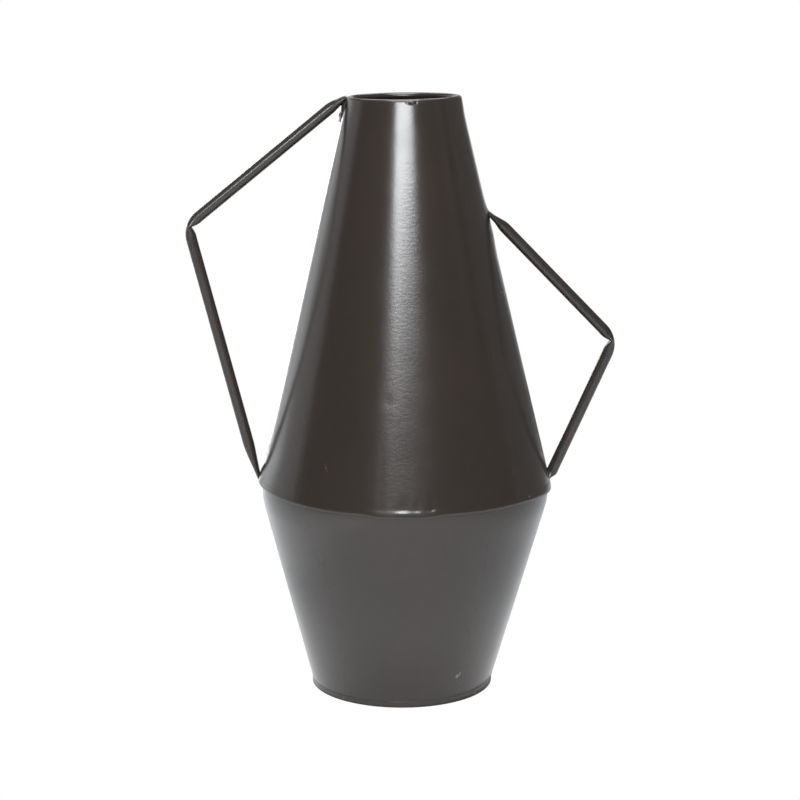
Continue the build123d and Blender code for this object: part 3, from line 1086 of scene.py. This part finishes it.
# Floor, light and camera
studio = {
    "floorSize": 60.0,
    "floorTone": (0.86, 0.86, 0.86, 1),
    "floorGrain": 0.97,  # share of that tone in its darker grain
    "floorRough": 0.9,
    "floorShine": 0.1,
    "fill": 0.04,  # dim surroundings
    "panels": {  # place, what it points at, width and height, roll, power
        "frontBox": ((0.04, -1.75, 1.12), (0, 0, 0.30), (1.0, 0.40), 14, 33.0),
        "lowBox": ((-0.14, -1.75, 0.82), (0, 0, 0.30), (1.0, 0.30), 14, 1.6),
        "topBox": ((0, -0.35, 1.95), (0, 0, 0.4), (1.1, 1.1), 0, 42.0),
        "backTop": ((0, 1.25, 1.75), (0, 0, 0.41), (1.4, 0.8), 0, 15.0),
        "tubeLamp": ((-0.80, -1.54, 1.00), (-0.09, 0, 0.37), (0.22, 0.22), 0, 8.5),
        "leftPanel": ((-1.02, 0.76, 0.50), (0, 0, 0.28), (1.7, 1.0), 0, 4.0),
        "leftBand": ((-0.82, 0.70, 0.30), (0, 0, 0.28), (0.34, 0.6), 0, 0.5),
        "leftStrip": ((-0.42, 1.05, 0.25), (0, 0, 0.25), (0.16, 0.7), 0, 2.6),
        "rightStrip": ((1.15, -0.36, 0.75), (0, 0, 0.30), (0.25, 0.6), 0, 0.07),
        "backPanel": ((0.1, 2.6, 0.55), (0, 0, 0.4), (2.4, 1.1), 0, 7.0),
        "floorPanel": ((-0.525, 0, 0.002), (-0.525, 0, 1.0), (0.65, 1.2), 0, 0.80),
    },
    "keptOn": {  # panels that shine on a few pieces alone
        "backTop": ["upperCone", "leftHandle", "rightHandle"],
        "tubeLamp": ["leftHandle"],
        "floorPanel": ["lowerCone"],
    },
    "panelTint": (0.94, 0.97, 1.0),
    "cards": {  # grey boards behind on the right, painted as dim glowing cards that show only in reflections: place, width, height, tone
        "tallCard": ((0.86, 0.55), 1.3, 0.95, 0.16),
        "lowCard": ((0.173, 0.781), 0.36, 0.10, 0.04),
    },
    "cardWeave": (0.9, 1.1),  # shares of the tone in a card's weave
    "footGlow": {  # painted reflection: a glowing ring that brightens the floor close to the foot, seen only in reflections
        "rings": (66 * mm, 210 * mm),
        "around": 64,
        "lift": 0.3 * mm,
        "strength": 0.72,
        "fade": (60 * mm, 200 * mm),
        "front": (-95 * mm, -20 * mm, 0.38),  # dimmer from the sides to the front
    },
}


def makeFloor():
    half = studio["floorSize"] / 2
    corners = [Vector((x * half, y * half, 0)) for x, y in ((-1, -1), (1, -1), (1, 1), (-1, 1))]
    floor = addMesh("floor", corners, [(0, 1, 2, 3)])
    material, tree, shader = startMaterial("paleFloor")
    grain = addNoise(tree, objectPlace(tree), 3.0, 4.0)
    shader.inputs["Roughness"].default_value = studio["floorRough"]
    shader.inputs["Specular IOR Level"].default_value = studio["floorShine"]
    tone = studio["floorTone"]
    darker = tuple(studio["floorGrain"] * part for part in tone[:3]) + (1,)
    feed(tree, shader, Base_Color=addMix(tree, grain, tone, darker))
    seen = addNode(tree, "ShaderNodeLightPath").outputs["Is Camera Ray"]  # burnt out to white in the picture
    glow = addNode(tree, "ShaderNodeEmission", {"Color": white, "Strength": 1.0}).outputs[0]
    burnt = addNode(tree, "ShaderNodeMixShader", {0: seen, 1: shader.outputs[0], 2: glow}).outputs[0]
    tree.links.new(burnt, tree.nodes["Material Output"].inputs["Surface"])
    floor.data.materials.append(material)


def makeCard(name, at, width, height, tone):
    middle = Vector((at[0], at[1], 0))
    along = Vector((-middle.y, middle.x, 0)).normalized() * width / 2
    high = Vector((0, 0, height))
    corners = [middle - along, middle + along, middle + along + high, middle - along + high]
    card = addMesh(name, corners, [(0, 1, 2, 3)])
    material, tree, shader = startMaterial(name)
    weave = addNoise(tree, objectPlace(tree), 400.0, 2.0)
    dark, light = ((share * tone, share * tone, share * tone, 1) for share in studio["cardWeave"])
    # painted reflection: the card glows with its tone instead of being lit
    feed(tree, shader, Emission_Color=addMix(tree, weave, dark, light))
    shader.inputs["Emission Strength"].default_value = 1.0
    shader.inputs["Base Color"].default_value = (0.01, 0.01, 0.01, 1)
    shader.inputs["Roughness"].default_value = 1.0
    card.data.materials.append(material)
    card.visible_camera = card.visible_diffuse = card.visible_shadow = False


# Painted reflection: a glowing ring on the floor round the foot, hidden from the camera, from diffuse light
# and from shadows
def makeFootGlow():
    s = studio["footGlow"]
    points = []
    for radius in s["rings"]:
        points += [spin(turn, Vector((radius, s["lift"]))) for turn in turns(s["around"])]
    glowRing = addMesh("footGlow", points, ringFaces(2, s["around"], False))
    material, tree, shader = startMaterial("footGlow")
    place = objectPlace(tree)
    reach = addNode(tree, "ShaderNodeVectorMath", {0: place}, operation="LENGTH").outputs["Value"]
    depth = addNode(tree, "ShaderNodeSeparateXYZ", {0: place}).outputs["Y"]
    front, sides, share = s["front"]
    near = addRange(tree, reach, *s["fade"], s["strength"], 0.0)
    strength = addMath(tree, "MULTIPLY", near, addRange(tree, depth, front, sides, share, 1.0))
    glow = addNode(tree, "ShaderNodeEmission", {"Color": white, "Strength": strength}).outputs[0]
    clear = addNode(tree, "ShaderNodeBsdfTransparent").outputs[0]
    both = addNode(tree, "ShaderNodeAddShader", {0: glow, 1: clear}).outputs[0]
    tree.links.new(both, tree.nodes["Material Output"].inputs["Surface"])
    glowRing.data.materials.append(material)
    glowRing.visible_camera = glowRing.visible_diffuse = glowRing.visible_shadow = False


def makePanel(name, at, aim, size, roll, power):
    light = bpy.data.lights.new(name, "AREA")
    light.shape = "RECTANGLE"
    light.size, light.size_y = size
    light.energy = power
    light.color = studio["panelTint"]
    lamp = bpy.data.objects.new(name, light)
    lamp.location = at
    facing = (Vector(aim) - Vector(at)).to_track_quat("-Z", "Y")
    lamp.rotation_euler = (facing @ Quaternion((0, 0, 1), math.radians(roll))).to_euler()
    lamp.visible_camera = False
    scene.collection.objects.link(lamp)


def makeSky():
    world = bpy.data.worlds.new("studio")
    scene.world = world
    world.use_nodes = True
    tree = world.node_tree
    tree.nodes.clear()
    seen = addNode(tree, "ShaderNodeLightPath").outputs["Is Camera Ray"]
    strength = addRange(tree, seen, 0.0, 1.0, studio["fill"], 1.0)
    glow = addNode(tree, "ShaderNodeBackground", {"Color": white, "Strength": strength})
    out = addNode(tree, "ShaderNodeOutputWorld")
    tree.links.new(glow.outputs[0], out.inputs["Surface"])


makeFloor()
for card, values in studio["cards"].items():
    makeCard(card, *values)
makeFootGlow()
for panel, values in studio["panels"].items():
    makePanel(panel, *values)
for panel, pieces in studio["keptOn"].items():
    lit = bpy.data.collections.new(panel + "Lit")
    for piece in pieces:
        lit.objects.link(bpy.data.objects[piece])
    bpy.data.objects[panel].light_linking.receiver_collection = lit
makeSky()

photoCamera = {
    "at": (-0.00295, -1.5695, 0.5355),
    "tilt": math.radians(90 - 12.015),
    "lens": 104.5,
    "sensor": 36.0,
}
camera = bpy.data.objects.new("camera", bpy.data.cameras.new("camera"))
camera.data.lens = photoCamera["lens"]
camera.data.sensor_width = photoCamera["sensor"]
camera.location = photoCamera["at"]
camera.rotation_euler = (photoCamera["tilt"], 0, 0)
scene.collection.objects.link(camera)
scene.camera = camera
scene.view_settings.view_transform = "Standard"
print("studio ready")
